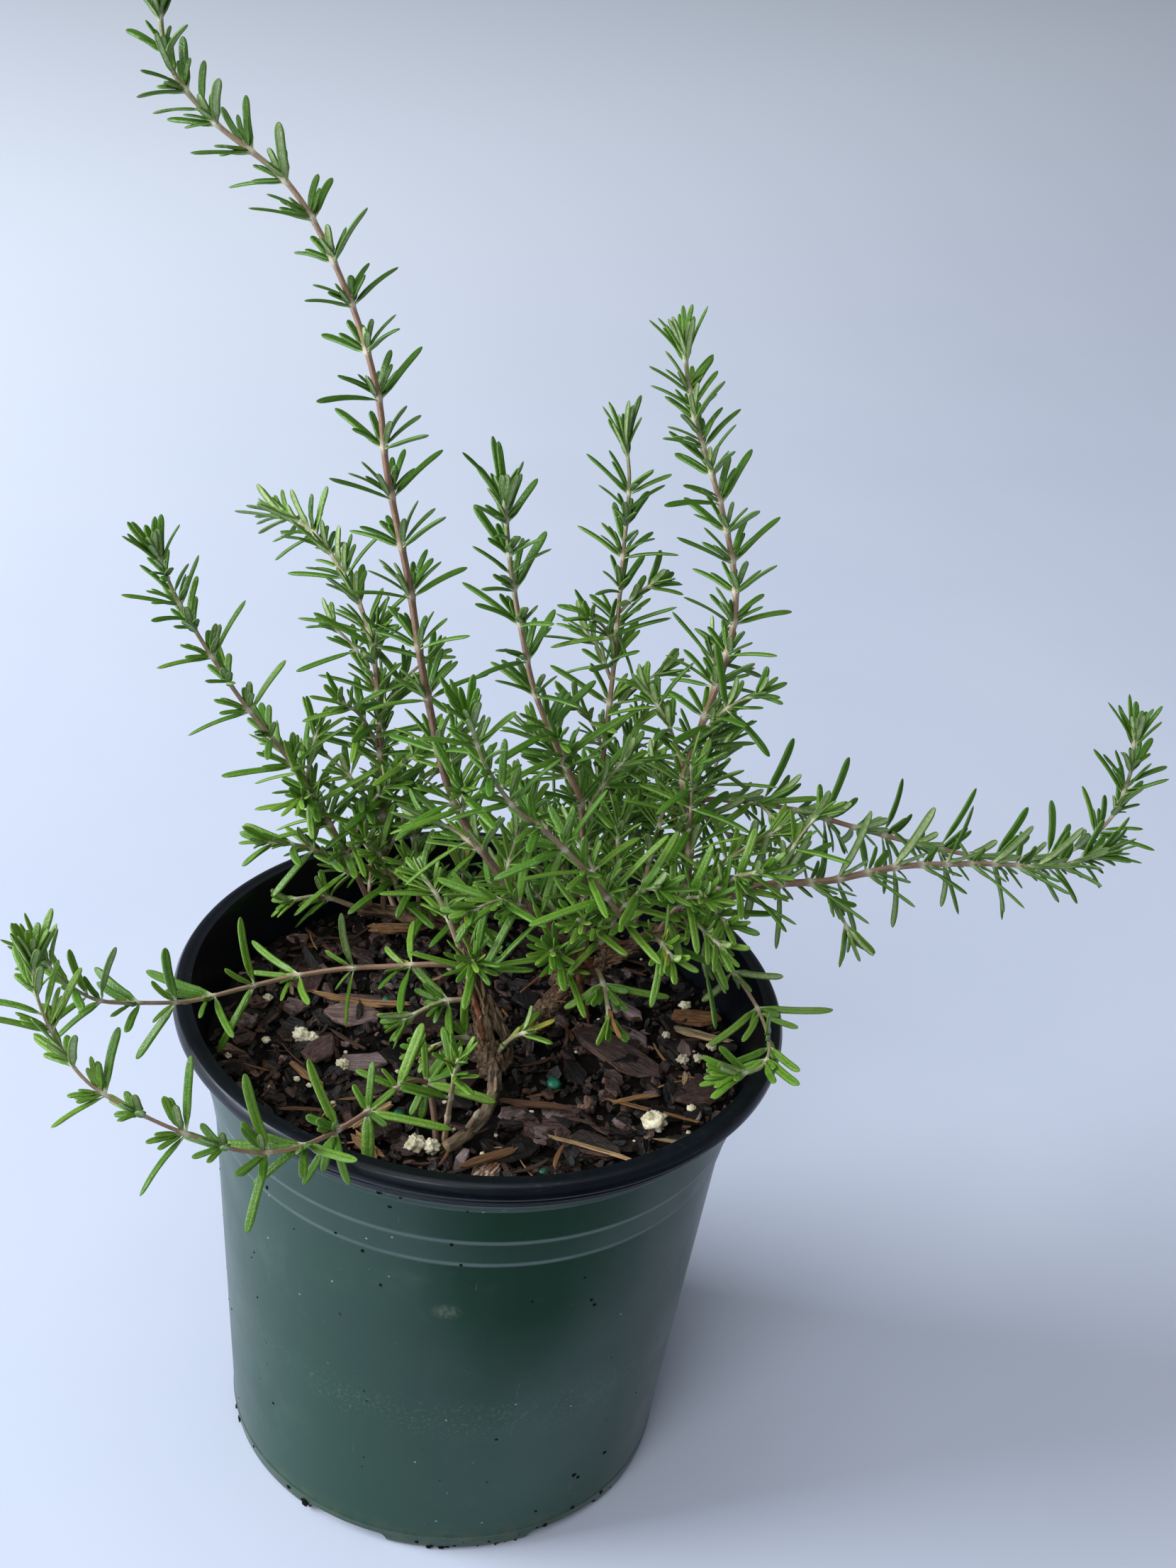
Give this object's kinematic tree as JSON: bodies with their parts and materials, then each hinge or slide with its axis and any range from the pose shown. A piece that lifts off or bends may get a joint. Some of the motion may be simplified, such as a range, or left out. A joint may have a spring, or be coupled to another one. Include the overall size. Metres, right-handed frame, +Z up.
{
  "type": "potted rosemary plant",
  "caption": "Young rosemary plant with upright and trailing needle-leaved stems, growing in bark potting soil in a round plastic nursery pot.",
  "frame": {"origin": "centre of the pot's flat underside", "axes": "+Z up along the pot's axis; the pictured side faces -Y, tilted up"},
  "size_m": [0.3018, 0.2083, 0.4036],
  "materials": {
    "pot": "dark green outside, black inside and on the rolled rim, satin with dust specks and a few scuffs",
    "soil": "dark damp bark mix with flat bark chips, wood slivers, white perlite and teal fertiliser beads",
    "bark": "rough brown bark on old wood, smooth pinkish tan to pale green on young stems",
    "leaf": "satin mid green with a wrinkled upper side, pale midrib groove and whitish underside"
  },
  "bodies": {
    "root": {"pot": "pot", "potting_soil": "soil", "woody_crown": "bark", "stem_tall_left": "leaf", "stem_left": "leaf", "stem_back_left": "leaf", "stem_middle": "leaf", "stem_front": "leaf", "stem_back": "leaf", "stem_tall_right": "leaf", "stem_right_front": "leaf", "stem_right_back": "leaf", "stem_over_rim": "leaf", "stem_trailing_left": "leaf", "stem_trailing_front": "leaf", "shoot_left_1": "leaf", "shoot_left_2": "leaf", "shoot_left_3": "leaf", "shoot_left_4": "leaf", "shoot_left_5": "leaf", "shoot_left_6": "leaf", "shoot_left_7": "leaf", "shoot_centre_1": "leaf", "shoot_centre_2": "leaf", "shoot_centre_3": "leaf", "shoot_centre_4": "leaf", "shoot_front_1": "leaf", "shoot_front_2": "leaf", "shoot_front_3": "leaf", "shoot_right_1": "leaf", "shoot_right_2": "leaf", "shoot_right_3": "leaf", "shoot_right_4": "leaf", "shoot_right_5": "leaf", "shoot_right_6": "leaf", "shoot_right_7": "leaf", "shoot_right_8": "leaf", "shoot_right_9": "leaf", "shoot_right_10": "leaf", "shoot_back_1": "leaf", "shoot_back_2": "leaf", "shoot_back_3": "leaf", "shoot_back_4": "leaf", "shoot_back_5": "leaf", "shoot_back_6": "leaf", "shoot_back_7": "leaf"}
  },
  "joints": []
}
